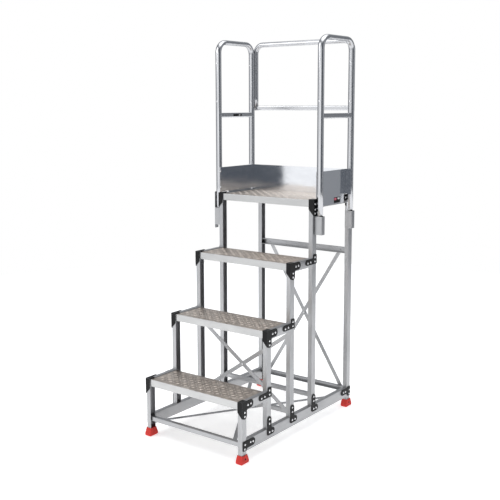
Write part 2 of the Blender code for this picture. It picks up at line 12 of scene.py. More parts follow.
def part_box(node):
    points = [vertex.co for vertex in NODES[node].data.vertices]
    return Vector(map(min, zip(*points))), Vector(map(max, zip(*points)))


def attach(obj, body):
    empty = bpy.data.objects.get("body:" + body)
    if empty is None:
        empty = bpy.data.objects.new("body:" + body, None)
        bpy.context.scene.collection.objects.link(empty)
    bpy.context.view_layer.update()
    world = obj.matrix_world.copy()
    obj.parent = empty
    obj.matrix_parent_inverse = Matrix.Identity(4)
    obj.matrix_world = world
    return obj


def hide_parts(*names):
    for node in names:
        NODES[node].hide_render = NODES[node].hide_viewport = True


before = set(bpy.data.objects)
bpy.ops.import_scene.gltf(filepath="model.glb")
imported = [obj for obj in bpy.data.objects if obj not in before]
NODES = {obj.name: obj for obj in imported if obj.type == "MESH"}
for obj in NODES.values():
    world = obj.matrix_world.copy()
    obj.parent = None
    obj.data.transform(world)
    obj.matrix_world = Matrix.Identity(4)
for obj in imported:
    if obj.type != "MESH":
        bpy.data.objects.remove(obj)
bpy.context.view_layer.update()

SIDES = (("left", -1), ("right", 1))

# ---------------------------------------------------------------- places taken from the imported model
POST_LOW = [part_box(f"post_{n}_right")[0] for n in range(1, 6)]
POST_HIGH = [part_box(f"post_{n}_right")[1] for n in range(1, 6)]
POST_FRONTS = [low.y for low in POST_LOW]
INNER, HALF_WIDTH = POST_LOW[0].x, POST_HIGH[0].x
POST_DEPTH = POST_HIGH[0].y - POST_LOW[0].y
LEVELS = [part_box(f"nosing_{n}")[1].z for n in range(1, 5)]
TREAD_BOXES = [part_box(name) for name in ("tread_1", "tread_2", "tread_3", "platform_deck")]
FOOT_NAMES = [f"foot_{place}_{side}" for place in ("front", "rear") for side, _ in SIDES]
RAIL_TOP_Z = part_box("side_handrail_right")[1].z
REAR_LOW, REAR_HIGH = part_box("rear_handrail")

# ---------------------------------------------------------------- sizes, the same as in the part
GAP = 0.0003
BASE_RAIL_Z = (0.056, 0.113)
RAIL_TOP, RAIL_BOTTOM = 0.002, -0.043
TUBE_WALL, TUBE_RADIUS = 0.002, 0.003
PLATE = 0.0025
PLATE_FACE = HALF_WIDTH + GAP
PLATE_TOP = PLATE_FACE + PLATE
CAP_LOW, CAP_TOP = 0.002, 0.005
INSET = 0.0002
OVAL_WIDE, OVAL_THIN, OVAL_WALL = 0.036, 0.026, 0.002
SIDE_LOOP_X, SIDE_LEGS, SIDE_BOTTOM, SHORT_LEG_BOTTOM = 0.329, (0.130, 0.432), 1.024, 1.165
SIDE_RADIUS, REAR_RADIUS = 0.059, 0.049
REAR_TUBE = 0.028
REAR_LOOP_Y = (REAR_LOW.y + REAR_HIGH.y) / 2
SLEEVE_Z, SLEEVE_FAR, SLEEVE_SHEET = (1.022, 1.117), HALF_WIDTH + 0.0435, 0.0020
STRAP_Z = (1.003, 1.206)
TOE_X, TOE_SHEET, TOE_HEM = 0.3085, 0.002, 0.015
TOE_START = {"left": 0.1110, "right": 0.1250}
TOE_Y = (0.1890, 0.3990, 0.4162)              # start and end of the low part, rear end
TOE_Z = (1.163, 1.2065, 1.2080, 1.342)        # bottom, front notch, rear notch, top
TOE_BOLT_Y, TOE_BOLTS = 0.0056, (1.233, 1.320)
LEG_BOLTS = (1.700, 1.905)

# rivets: Y from the post's front face, Z from the level or the floor
CORNER_RIVETS = ((0.067, -0.016), (0.044, -0.017), (0.019, -0.048), (0.019, -0.068))
PLATFORM_RIVETS = ((0.067, -0.016), (0.017, -0.020), (0.017, -0.048), (0.017, -0.069))
DECK_REAR_RIVETS = ((-0.014, -0.012), (-0.042, -0.012), (0.018, -0.030), (0.018, -0.060))
RAIL_RIVETS = ((-0.047, -0.018), (-0.021, -0.016), (0.019, -0.016), (0.019, 0.005))
STRAP_RIVETS = ((0.019, 0.158), (0.019, 0.135), (0.019, 0.092), (0.043, 0.091))
BASE_RIVETS = (((0.020, 0.093), (0.018, 0.071), (0.064, 0.093), (0.084, 0.091)),
               STRAP_RIVETS, STRAP_RIVETS, STRAP_RIVETS,
               ((-0.037, 0.092), (-0.016, 0.092), (0.026, 0.071), (0.026, 0.094)))

# turned heads: radius and height, from the centre of the underside to the centre of the top
RIVET_PROFILE = ((0.0, -0.0004), (0.0052, -0.0004), (0.0052, 0.0004), (0.0048, 0.0011),
                 (0.0038, 0.0018), (0.0025, 0.0022), (0.0018, 0.0023), (0.0015, 0.0019),
                 (0.0012, 0.0015), (0.0, 0.0014))
BOLT_PROFILE = ((0.0, -0.0004), (0.0050, -0.0004), (0.0050, 0.0012), (0.0045, 0.0022),
                (0.0033, 0.0028), (0.0022, 0.0030), (0.0020, 0.0022), (0.0, 0.0020))
SCREW_PROFILE = ((0.0, -0.0012), (0.0048, -0.0012), (0.0048, 0.0003), (0.0038, 0.0008),
                 (0.0020, 0.0009), (0.0017, 0.0002), (0.0, 0.0001))
HEAD_SEGMENTS = 20

SHARP_ANGLE = radians(32)                     # edges sharper than this stay creased
PLATE_EDGE, SLEEVE_EDGE, TOE_EDGE, LABEL_EDGE = 0.0005, 0.0006, 0.0004, 0.0001   # bevel widths


# ---------------------------------------------------------------- finishes

EDGE_REACH = 0.12                             # how far from a flat normal an edge counts as worn
MILL_SHADE, MILL_EDGE = (0.455, 0.458, 0.466), (0.72, 0.73, 0.74)
SHEET_LIGHT, SHEET_DARK, SHEET_EDGE = (0.80, 0.81, 0.83), (0.72, 0.735, 0.76), (0.93, 0.93, 0.94)
BAR_SHADES = ((0.76, 0.69, 0.63), (0.58, 0.52, 0.465))
PLATE_SHADES = ((0.63, 0.565, 0.505), (0.42, 0.365, 0.32))
SCUFF_SHADE, SPECK_SHADE = (0.82, 0.79, 0.75), (0.30, 0.27, 0.24)
COAT_SHADE, COAT_DUST, COAT_WORN = (0.004, 0.004, 0.0045), (0.012, 0.012, 0.013), (0.22, 0.22, 0.23)
FLOOR_SHADES, FLOOR_EMISSION = ((0.90, 0.90, 0.90), (0.93, 0.93, 0.93)), 0.50


class Finish:
    """A material's node tree, with short calls for the nodes that the finishes share."""

    def __init__(self, name, metallic, specular=0.5):
        self.material = bpy.data.materials.new(name)
        self.material.use_nodes = True
        self.tree = self.material.node_tree
        self.shader = self.tree.nodes["Principled BSDF"]
        self.shader.inputs["Metallic"].default_value = metallic
        self.shader.inputs["Specular IOR Level"].default_value = specular
        self.place = self.add("ShaderNodeTexCoord").outputs["Object"]

    def add(self, kind, **settings):
        node = self.tree.nodes.new(kind)
        for key, value in settings.items():
            setattr(node, key, value)
        return node

    def feed(self, target, value):
        if isinstance(value, bpy.types.NodeSocket):
            self.tree.links.new(value, target)
        else:
            target.default_value = value

    def noise(self, scale, stretch=(1, 1, 1), detail=3.0):
        mapping = self.add("ShaderNodeMapping")
        mapping.inputs["Scale"].default_value = stretch
        self.feed(mapping.inputs["Vector"], self.place)
        noise = self.add("ShaderNodeTexNoise")
        noise.inputs["Scale"].default_value = scale
        noise.inputs["Detail"].default_value = detail
        self.feed(noise.inputs["Vector"], mapping.outputs["Vector"])
        return noise.outputs["Fac"]

    def remap(self, value, low, high, start=0.25, end=0.75):
        node = self.add("ShaderNodeMapRange")
        for index, number in zip(range(5), (value, start, end, low, high)):
            self.feed(node.inputs[index], number)
        return node.outputs["Result"]

    def combine(self, operation, a, b):
        node = self.add("ShaderNodeMath", operation=operation)
        self.feed(node.inputs[0], a)
        self.feed(node.inputs[1], b)
        return node.outputs["Value"]

    def mix(self, factor, a, b):
        node = self.add("ShaderNodeMix", data_type='RGBA')
        self.feed(node.inputs["Factor"], factor)
        for socket, colour in zip(node.inputs[6:8], (a, b)):
            self.feed(socket, (*colour, 1) if isinstance(colour, tuple) else colour)
        return node.outputs[2]

    def edges(self, radius):
        """1 along the piece's edges and 0 on its flats."""
        rounded = self.add("ShaderNodeBevel", samples=4)
        rounded.inputs["Radius"].default_value = radius
        flat = self.add("ShaderNodeNewGeometry")
        dot = self.add("ShaderNodeVectorMath", operation='DOT_PRODUCT')
        self.feed(dot.inputs[0], rounded.outputs["Normal"])
        self.feed(dot.inputs[1], flat.outputs["Normal"])
        return self.remap(dot.outputs["Value"], 1.0, 0.0, 1 - EDGE_REACH, 1.0)

    def bump(self, *layers):
        """Layers of (height, distance in metres), the last one on top."""
        normal = None
        for height, distance in layers:
            node = self.add("ShaderNodeBump")
            node.inputs["Strength"].default_value = 1.0
            node.inputs["Distance"].default_value = distance
            self.feed(node.inputs["Height"], height)
            if normal is not None:
                self.feed(node.inputs["Normal"], normal)
            normal = node.outputs["Normal"]
        self.feed(self.shader.inputs["Normal"], normal)

    def paint(self, colour, roughness):
        self.feed(self.shader.inputs["Base Color"], colour)
        self.feed(self.shader.inputs["Roughness"], roughness)
        return self.material


def along(axis, fine, coarse=1.0):
    """Noise stretch that draws lines along one axis."""
    return tuple(coarse if letter == axis else fine for letter in "XYZ")


def drawn_aluminium(name, axis, shade=MILL_SHADE, roughness=0.38):
    """Mill-finish extrusion: fine die lines along its length, faint stains, brighter edges."""
    f = Finish(name, 1.0)
    lines = f.noise(9.0, along(axis, 60.0, 0.35), 4.0)
    stains = f.noise(7.0, along(axis, 3.0), 3.0)
    grain = f.noise(900.0, detail=1.0)
    dull = tuple(0.86 * c for c in shade)
    colour = f.mix(f.remap(lines, 0.0, 0.55), shade, dull)
    colour = f.mix(f.remap(stains, 0.0, 0.35, 0.45, 0.75), colour, tuple(0.9 * c for c in dull))
    colour = f.mix(f.combine('MULTIPLY', f.edges(0.0012), 0.6), colour, MILL_EDGE)
    rough = f.combine('ADD', f.remap(lines, roughness - 0.05, roughness + 0.06),
                      f.remap(stains, -0.02, 0.07, 0.4, 0.7))
    f.bump((lines, 0.00006), (grain, 0.00002))
    return f.paint(colour, rough)


def bright_sheet(name, axis):
    """Rolled sheet, nearly a mirror, with faint rolling lines and smears."""
    f = Finish(name, 1.0)
    lines = f.noise(14.0, along(axis, 40.0, 0.5), 3.0)
    smears = f.noise(16.0, along(axis, 2.0), 4.0)
    shade = f.mix(f.remap(smears, 0.0, 0.6), SHEET_LIGHT, SHEET_DARK)
    shade = f.mix(f.combine('MULTIPLY', f.edges(0.0010), 0.7), shade, SHEET_EDGE)
    f.bump((f.noise(6.0, along(axis, 1.6), 1.0), 0.0010), (lines, 0.00003))
    return f.paint(shade, f.remap(smears, 0.09, 0.19))


def tread_plate(name, high=False):
    """Chequered plate: warm grey, scuffed, with the raised bars worn bright."""
    f = Finish(name, 1.0)
    blotches = f.noise(55.0, detail=4.0)
    scuffs = f.noise(9.0, (1.0, 3.0, 1.0), 5.0)
    specks = f.noise(420.0, detail=2.0)
    light, dark = BAR_SHADES if high else PLATE_SHADES
    colour = f.mix(f.remap(blotches, 0.0, 1.0, 0.35, 0.65), dark, light)
    colour = f.mix(f.remap(scuffs, 0.0, 0.45, 0.5, 0.8), colour, SCUFF_SHADE)
    colour = f.mix(f.remap(specks, 0.0, 0.5, 0.58, 0.7), colour, SPECK_SHADE)
    rough = f.combine('ADD', f.remap(blotches, 0.36, 0.50), f.remap(scuffs, -0.03, 0.08))
    f.bump((blotches, 0.0005), (specks, 0.00012))
    return f.paint(colour, rough)


def black_coat(name):
    """Black powder coat on sheet steel, worn grey along its edges."""
    f = Finish(name, 0.0, 0.22)
    orange_peel = f.noise(650.0, detail=2.0)
    dust = f.noise(60.0, detail=4.0)
    colour = f.mix(f.remap(dust, 0.0, 1.0, 0.45, 0.75), COAT_SHADE, COAT_DUST)
    wear = f.combine('MULTIPLY', f.edges(0.0009), f.remap(dust, 0.15, 0.8, 0.4, 0.65))
    colour = f.mix(wear, colour, COAT_WORN)
    f.bump((orange_peel, 0.00010))
    return f.paint(colour, f.remap(dust, 0.40, 0.55))


def bright_steel(name, shade=(0.90, 0.90, 0.91)):
    """Fastener heads: turned rings and small dents."""
    f = Finish(name, 1.0)
    dents = f.noise(420.0, detail=2.0)
    dirt = f.noise(110.0, detail=3.0)
    colour = f.mix(f.remap(dirt, 0.0, 0.5, 0.5, 0.8), shade, tuple(0.62 * c for c in shade))
    f.bump((dents, 0.00012))
    return f.paint(colour, f.remap(dirt, 0.16, 0.34))


def moulded_plastic(name, shade, pale, roughness=0.42):
    """Moulded plastic: fine spark-eroded texture, faint flow marks, scuffed edges."""
    f = Finish(name, 0.0, 0.12)
    texture = f.noise(1300.0, detail=2.0)
    flow = f.noise(40.0, (1.0, 1.0, 0.4), 3.0)
    colour = f.mix(f.remap(flow, 0.0, 1.0), shade, tuple(0.82 * c for c in shade))
    colour = f.mix(f.combine('MULTIPLY', f.edges(0.0012), 0.45), colour, pale)
    f.bump((flow, 0.0002), (texture, 0.00008))
    return f.paint(colour, f.remap(flow, roughness + 0.04, roughness + 0.20))


def floor_finish(name):
    """Pale matt floor, lifted by a little emission so that it meets the white background."""
    f = Finish(name, 0.0, 0.2)
    clouds = f.noise(1.5, detail=2.0)
    f.shader.inputs["Emission Color"].default_value = (1, 1, 1, 1)
    f.shader.inputs["Emission Strength"].default_value = FLOOR_EMISSION
    return f.paint(f.mix(clouds, *FLOOR_SHADES), f.remap(clouds, 0.75, 0.85))


ALUMINIUM = {axis: drawn_aluminium(f"drawn_aluminium_{axis}", axis) for axis in "XYZ"}
NOSING = drawn_aluminium("nosing_aluminium", "X", (0.56, 0.56, 0.555), 0.32)
TUBE = {axis: drawn_aluminium(f"tube_aluminium_{axis}", axis, (0.58, 0.585, 0.60), 0.20) for axis in "XYZ"}
SHEET = {axis: bright_sheet(f"bright_sheet_{axis}", axis) for axis in "XY"}
TREAD, BARS = tread_plate("chequered_plate"), tread_plate("raised_bars", True)
BLACK = black_coat("black_powder_coat")
STEEL = bright_steel("fastener_steel")
# Boot screw heads: the near-black colour is painted shade of the dark screw hole, not the steel's own
# colour
SCREW_PAINTED_SHADE = bright_steel("screw_steel_painted_shade", (0.030, 0.022, 0.022))
RED = moulded_plastic("red_plastic", (0.72, 0.060, 0.050), (0.80, 0.21, 0.18))
LABEL_BLACK = moulded_plastic("label_film_black", (0.010, 0.010, 0.011), (0.05, 0.05, 0.05), 0.28)
LABEL_WHITE = moulded_plastic("label_film_white", (0.80, 0.80, 0.80), (0.85, 0.85, 0.85), 0.30)
LABEL_PINK = moulded_plastic("label_film_pink", (0.70, 0.16, 0.22), (0.80, 0.40, 0.42), 0.30)


# ---------------------------------------------------------------- meshes

def arc(centre, radius, start, end, steps):
    """Points of an arc, angles in degrees, both ends included."""
    angles = [radians(start + (end - start) * i / steps) for i in range(steps + 1)]
    return [(centre[0] + radius * cos(a), centre[1] + radius * sin(a)) for a in angles]


def rectangle(width, height, radius, steps=4):
    """Rounded rectangle centred on the origin."""
    u, v = width / 2 - radius, height / 2 - radius
    corners = ((u, v, 0), (-u, v, 90), (-u, -v, 180), (u, -v, 270))
    return [p for x, y, a in corners for p in arc((x, y), radius, a, a + 90, steps)]


TURN = {"X": Matrix(((0, 0, 1), (1, 0, 0), (0, 1, 0))).to_4x4(),
        "Y": Matrix(((1, 0, 0), (0, 0, -1), (0, 1, 0))).to_4x4(),
        "Z": Matrix.Identity(4)}


def evaluated(obj):
    """Mesh of an object with its modifiers applied."""
    return bpy.data.meshes.new_from_object(obj.evaluated_get(bpy.context.evaluated_depsgraph_get()))


def extruded(loops, depth, axis="Z", place=(0, 0, 0)):
    """Solid from an outer loop and any holes, its depth centred on place along the axis."""
    curve = bpy.data.curves.new("outline", 'CURVE')
    curve.dimensions = '2D'
    curve.fill_mode = 'BOTH'
    curve.extrude = depth / 2
    for loop in loops:
        spline = curve.splines.new('POLY')
        spline.points.add(len(loop) - 1)
        for point, (u, v) in zip(spline.points, loop):
            point.co = (u, v, 0, 1)
        spline.use_cyclic_u = True
    source = bpy.data.objects.new("outline", curve)
    bpy.context.scene.collection.objects.link(source)
    mesh = evaluated(source)
    bpy.data.objects.remove(source)
    bpy.data.curves.remove(curve)
    bm = bmesh.new()
    bm.from_mesh(mesh)
    bmesh.ops.remove_doubles(bm, verts=bm.verts, dist=1e-6)
    bmesh.ops.dissolve_limit(bm, angle_limit=radians(0.1), verts=bm.verts, edges=bm.edges)
    bmesh.ops.recalc_face_normals(bm, faces=bm.faces)
    bm.transform(Matrix.Translation(place) @ TURN[axis])
    bm.to_mesh(mesh)
    bm.free()
    return mesh


def joined(meshes):
    """One mesh of several, each kept as a separate solid."""
    bm = bmesh.new()
    for mesh in meshes:
        bm.from_mesh(mesh)
    whole = bpy.data.meshes.new("joined")
    bm.to_mesh(whole)
    bm.free()
    return whole


def united(meshes):
    """One solid of several overlapping ones."""
    objects = [bpy.data.objects.new("solid", mesh) for mesh in meshes]
    for obj in objects:
        bpy.context.scene.collection.objects.link(obj)
    for other in objects[1:]:
        modifier = objects[0].modifiers.new("union", 'BOOLEAN')
        modifier.operation, modifier.solver, modifier.object = 'UNION', 'EXACT', other
    mesh = evaluated(objects[0])
    for obj in objects:
        bpy.data.objects.remove(obj)
    bm = bmesh.new()
    bm.from_mesh(mesh)
    bmesh.ops.dissolve_limit(bm, angle_limit=radians(0.5), verts=bm.verts, edges=bm.edges)
    bm.to_mesh(mesh)
    bm.free()
    return mesh


def piece(name, mesh, material, replaces=(), bevel=0.0, segments=2):
    """A visible piece that rides on the part, smooth where curved, its edges rounded if asked."""
    mesh.name = name
    mesh.materials.clear()
    mesh.materials.append(material)
    mesh.shade_smooth()
    mesh.set_sharp_from_angle(angle=SHARP_ANGLE)
    obj = bpy.data.objects.new(name, mesh)
    bpy.context.scene.collection.objects.link(obj)
    if bevel:
        edges = obj.modifiers.new("rounded edges", 'BEVEL')
        edges.width, edges.segments, edges.limit_method = bevel, segments, 'ANGLE'
        edges.angle_limit = SHARP_ANGLE
        edges.harden_normals = True
    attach(obj, "root")
    if replaces:
        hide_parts(*replaces)
    return obj


def lathe(bm, profile, spot, direction):
    """Turned head on a face."""
    turn = Matrix.Translation(spot) @ Vector(direction).to_track_quat('Z', 'Y').to_matrix().to_4x4()
    rings = []
    for radius, height in profile:
        count = HEAD_SEGMENTS if radius else 1
        angles = [2 * pi * i / count for i in range(count)]
        rings.append([bm.verts.new(turn @ Vector((radius * cos(a), radius * sin(a), height)))
                      for a in angles])
    for low, high in zip(rings, rings[1:]):
        for i in range(HEAD_SEGMENTS):
            corners = [low[i % len(low)], low[(i + 1) % len(low)],
                       high[(i + 1) % len(high)], high[i % len(high)]]
            bm.faces.new(list(dict.fromkeys(corners)))


def heads(name, profile, spots, material):
    """All the fastener heads of one kind on one side: spots are (place, direction)."""
    bm = bmesh.new()
    for spot, direction in spots:
        lathe(bm, profile, spot, direction)
    bmesh.ops.recalc_face_normals(bm, faces=bm.faces)
    mesh = bpy.data.meshes.new(name)
    bm.to_mesh(mesh)
    bm.free()
    return piece(name, mesh, material)


def rounded_tube(width, height, length, axis, place):
    outer = rectangle(width, height, TUBE_RADIUS)
    inner = rectangle(width - 2 * TUBE_WALL, height - 2 * TUBE_WALL, TUBE_RADIUS - TUBE_WALL)
    return extruded([outer, inner], length, axis, place)


# ---------------------------------------------------------------- rails, plates and brackets

def plate(outline, sign, front, level):
    """Flat plate on the outer side of the frame, its outline in Y and Z from a post and a level."""
    return extruded([outline], PLATE, "X", (sign * (PLATE_FACE + PLATE / 2), front, level))


def corner_side_outline():
    return ([(INSET - PLATE - GAP, CAP_TOP)] + arc((0.066, -0.0155), 0.0205, 90, -90, 12)
            + arc((0.044, -0.044), 0.008, 90, 180, 5) + arc((0.018, -0.064), 0.018, 0, -120, 10)
            + [(INSET - PLATE - GAP, -0.0740)])


def deck_side_outline():
    return ([(0.036, CAP_TOP)] + arc((0.018, -0.064), 0.018, 0, -120, 10)
            + [(INSET - PLATE - GAP, -0.0740), (INSET - PLATE - GAP, -0.028)]
            + arc((-0.0475, -0.0115), 0.0165, 270, 90, 12))


def rail_plate_outline():
    return ([(0.036, -0.030), (0.036, 0.013)] + arc((0.028, 0.013), 0.008, 0, 90, 5)
            + arc((0.012, 0.013), 0.008, 90, 180, 5) + arc((-0.002, 0.007), 0.006, 0, -90, 5)
            + arc((-0.0515, -0.0145), 0.0155, 90, 270, 12))


def base_plate_outlines():
    first = (arc((0.012, 0.069), 0.008, 180, 270, 5) + arc((0.026, 0.069), 0.008, 270, 335, 5)
             + [(0.040, 0.072)] + arc((0.082, 0.091), 0.019, -90, 90, 12) + [(0.004, 0.110)])
    strap = (arc((0.010, 0.087), 0.010, 180, 270, 5) + arc((0.046, 0.0935), 0.0165, -90, 90, 10)
             + arc((0.044, 0.118), 0.008, 270, 180, 5) + arc((0.018, 0.155), 0.018, 0, 180, 14))
    last = ([(0.036, 0.107)] + arc((0.028, 0.107), 0.008, 0, 90, 5) + arc((0.012, 0.107), 0.008, 90, 150, 5)
            + [(-0.002, 0.111)] + arc((-0.046, 0.094), 0.017, 90, 270, 12) + [(-0.002, 0.077)]
            + arc((0.012, 0.069), 0.008, 210, 270, 5) + arc((0.028, 0.069), 0.008, 270, 360, 5))
    return (first, strap, strap, strap, last)


def bracket_returns(sign, front, level, top, inner_low, cap_start):
    """A bracket's front plate, slanted along its lower edge, and its cap over the post."""
    inner, outer = sign * INNER, sign * (PLATE_TOP - INSET)
    face = [(inner, top), (outer, top), (outer, -0.0770), (inner, inner_low)]
    cap_end = POST_DEPTH - INSET
    cap = [(inner, cap_start), (outer - sign * INSET, cap_start), (outer - sign * INSET, cap_end),
           (inner, cap_end)]
    cap_middle = (0, front, level + (CAP_TOP + CAP_LOW - INSET) / 2)
    return [extruded([face], PLATE, "Y", (0, front - GAP - PLATE / 2, level)),
            extruded([cap], CAP_TOP - CAP_LOW - INSET, "Z", cap_middle)]


def build_brackets():
    for side, sign in SIDES:
        for number, (front, level) in enumerate(zip(POST_FRONTS, LEVELS), 1):
            solids = [plate(corner_side_outline(), sign, front, level)]
            solids += bracket_returns(sign, front, level, CAP_TOP - 2 * INSET, -0.0470, INSET - PLATE - GAP)
            piece(f"bracket_{number}_{side}", united(solids), BLACK,
                  [f"corner_bracket_{number}_{side}"], PLATE_EDGE)
        solids = [plate(deck_side_outline(), sign, POST_FRONTS[4], LEVELS[3])]
        solids += bracket_returns(sign, POST_FRONTS[4], LEVELS[3], RAIL_BOTTOM - GAP, -0.0600, GAP)
        piece(f"bracket_rear_{side}", united(solids), BLACK, (), PLATE_EDGE)


def build_rails():
    width = HALF_WIDTH - INNER
    for side, sign in SIDES:
        x = sign * (INNER + HALF_WIDTH) / 2
        start, end = POST_FRONTS[0] + POST_DEPTH + GAP, POST_FRONTS[4] - GAP
        low, high = BASE_RAIL_Z
        tube = rounded_tube(width, high - low, end - start, "Y", (x, (start + end) / 2, (low + high) / 2))
        piece(f"base_tube_{side}", tube, ALUMINIUM["Y"], [f"base_rail_{side}"])
        plates = [plate(outline, sign, front, 0)
                  for outline, front in zip(base_plate_outlines(), POST_FRONTS)]
        piece(f"base_plates_{side}", joined(plates), BLACK, (), PLATE_EDGE)
        for number, level in enumerate(LEVELS, 1):
            start, end = POST_FRONTS[number - 1] + POST_DEPTH + GAP, POST_FRONTS[number] - GAP
            middle = (x, (start + end) / 2, level + (RAIL_TOP + RAIL_BOTTOM) / 2)
            tube = rounded_tube(width, RAIL_TOP - RAIL_BOTTOM, end - start, "Y", middle)
            piece(f"side_tube_{number}_{side}", tube, ALUMINIUM["Y"],
                  [f"side_rail_{number}_{side}"])
        plates = [plate(rail_plate_outline(), sign, POST_FRONTS[n], LEVELS[n - 1]) for n in (1, 2, 3)]
        piece(f"rail_plates_{side}", joined(plates), BLACK, (), PLATE_EDGE)


def rivet_spots(sign):
    groups = [(BASE_RIVETS[n], POST_FRONTS[n], 0) for n in range(5)]
    groups += [(RAIL_RIVETS, POST_FRONTS[n], LEVELS[n - 1]) for n in (1, 2, 3)]
    groups += [(CORNER_RIVETS, POST_FRONTS[n], LEVELS[n]) for n in (0, 1, 2)]
    groups += [(PLATFORM_RIVETS, POST_FRONTS[3], LEVELS[3]), (DECK_REAR_RIVETS, POST_FRONTS[4], LEVELS[3])]
    return [((sign * PLATE_TOP, front + y, level + z), (sign, 0, 0))
            for rivets, front, level in groups for y, z in rivets]


def build_rivets():
    for side, sign in SIDES:
        heads(f"rivets_{side}", RIVET_PROFILE, rivet_spots(sign), STEEL)


# ---------------------------------------------------------------- handrails

TUBE_SEGMENTS = 36


def swept_oval(path, side, wide, thin):
    """Oval tube with open ends along a flat path; side is the normal of the path's plane."""
    bm = bmesh.new()
    side = Vector(side)
    points = [Vector(p) for p in path]
    rings = []
    for i, point in enumerate(points):
        ahead = (points[min(i + 1, len(points) - 1)] - points[max(i - 1, 0)]).normalized()
        across = side.cross(ahead)
        rings.append([bm.verts.new(point + across * thin / 2 * cos(t) + side * wide / 2 * sin(t))
                      for t in (2 * pi * k / TUBE_SEGMENTS for k in range(TUBE_SEGMENTS))])
    for low, high in zip(rings, rings[1:]):
        for k in range(TUBE_SEGMENTS):
            after = (k + 1) % TUBE_SEGMENTS
            bm.faces.new((low[k], low[after], high[after], high[k]))
    bmesh.ops.recalc_face_normals(bm, faces=bm.faces)
    mesh = bpy.data.meshes.new("tube")
    bm.to_mesh(mesh)
    bm.free()
    return mesh


def loop_path(a, b, low_a, low_b, top, radius, thin):
    """Inverted U in its own plane, from one leg's foot to the other's."""
    height = top - thin / 2
    legs = [[(leg, low + (height - radius - low) * i / 4) for i in range(4)]
            for leg, low in ((a, low_a), (b, low_b))]
    return (legs[0] + arc((a + radius, height - radius), radius, 180, 90, 14)
            + arc((b - radius, height - radius), radius, 90, 0, 14) + legs[1][::-1])


def add_wall(obj):
    wall = obj.modifiers.new("tube wall", 'SOLIDIFY')
    wall.thickness, wall.offset = OVAL_WALL, -1


def sleeve_meshes(sign):
    """Folded sleeves on the long legs' lower ends; the front left one has a longer web."""
    low, high = SLEEVE_Z
    near, far = sign * (PLATE_FACE + 0.0007), sign * SLEEVE_FAR
    web, inner = sign * SLEEVE_SHEET, OVAL_THIN / 2 + GAP
    outer = OVAL_THIN / 2 - GAP + SLEEVE_SHEET
    outline = [(near, inner), (far - web, inner), (far - web, -inner), (near, -inner),
               (near, -outer), (far, -outer), (far, outer), (near, outer)]
    legs = SIDE_LEGS[:1] if sign < 0 else SIDE_LEGS
    sleeves = [extruded([outline], high - low, "Z", (0, leg, (low + high) / 2)) for leg in legs]
    if sign > 0:
        return joined(sleeves)
    low, high = STRAP_Z
    strap = rectangle(2 * (outer - INSET), high - low, 0.003)
    place = (far - web / 2, SIDE_LEGS[0], (low + high) / 2)
    return united([sleeves[0], extruded([strap], SLEEVE_SHEET - 2 * INSET, "X", place)])


def build_handrails():
    for side, sign in SIDES:
        x, second = sign * SIDE_LOOP_X, SHORT_LEG_BOTTOM if sign < 0 else SIDE_BOTTOM
        path = loop_path(*SIDE_LEGS, SIDE_BOTTOM, second, RAIL_TOP_Z, SIDE_RADIUS, OVAL_THIN)
        tube = swept_oval([(x, y, z) for y, z in path], (1, 0, 0), OVAL_WIDE, OVAL_THIN)
        add_wall(piece(f"guard_loop_{side}", tube, TUBE["Z"], [f"side_handrail_{side}"]))
        piece(f"leg_sleeves_{side}", sleeve_meshes(sign), ALUMINIUM["Z"], (), SLEEVE_EDGE)
        bolts = [((x, leg - OVAL_THIN / 2, z), (0, -1, 0)) for leg in SIDE_LEGS for z in LEG_BOLTS]
        heads(f"leg_bolts_{side}", BOLT_PROFILE, bolts, STEEL)
    half = REAR_HIGH.x - REAR_TUBE / 2
    path = loop_path(-half, half, REAR_LOW.z, REAR_LOW.z, REAR_HIGH.z, REAR_RADIUS, REAR_TUBE)
    tube = swept_oval([(u, REAR_LOOP_Y, z) for u, z in path], (0, 1, 0), REAR_TUBE, REAR_TUBE)
    add_wall(piece("guard_loop_rear", tube, TUBE["X"], ["rear_handrail"]))


# ---------------------------------------------------------------- toe boards, treads and feet

def build_toe_boards():
    clear_front, clear_rear, end = TOE_Y
    bottom, notch, rear_notch, top = TOE_Z
    for side, sign in SIDES:
        start = TOE_START[side]
        outline = [(start, notch), (clear_front, notch), (clear_front, bottom), (clear_rear, bottom),
                   (clear_rear, rear_notch), (end, rear_notch), (end, top), (start, top)]
        fold = [(start + GAP, top - TOE_HEM), (end - GAP, top - TOE_HEM), (end - GAP, top - GAP),
                (start + GAP, top - GAP)]
        board = extruded([outline], TOE_SHEET, "X", (sign * (TOE_X + TOE_SHEET / 2), 0, 0))
        hem = extruded([fold], 1.3 * TOE_SHEET, "X", (sign * (TOE_X - TOE_SHEET / 2), 0, 0))
        piece(f"toe_sheet_{side}", united([board, hem]), SHEET["Y"],
              [f"toe_board_{side}"], TOE_EDGE)
        bolts = [((sign * TOE_X, start + TOE_BOLT_Y, z), (-sign, 0, 0)) for z in TOE_BOLTS]
        heads(f"toe_bolts_{side}", BOLT_PROFILE, bolts, STEEL)


BAR_PITCH, BAR_LENGTH, BAR_WIDTH, BAR_MARGIN = 0.0255, 0.0215, 0.0058, 0.010
BAR_SIDES, BAR_TAPER = 12, 0.25
BAR_RINGS = ((1.0, -0.0002), (0.94, 0.0005), (0.62, 0.0013))   # share of the size, height


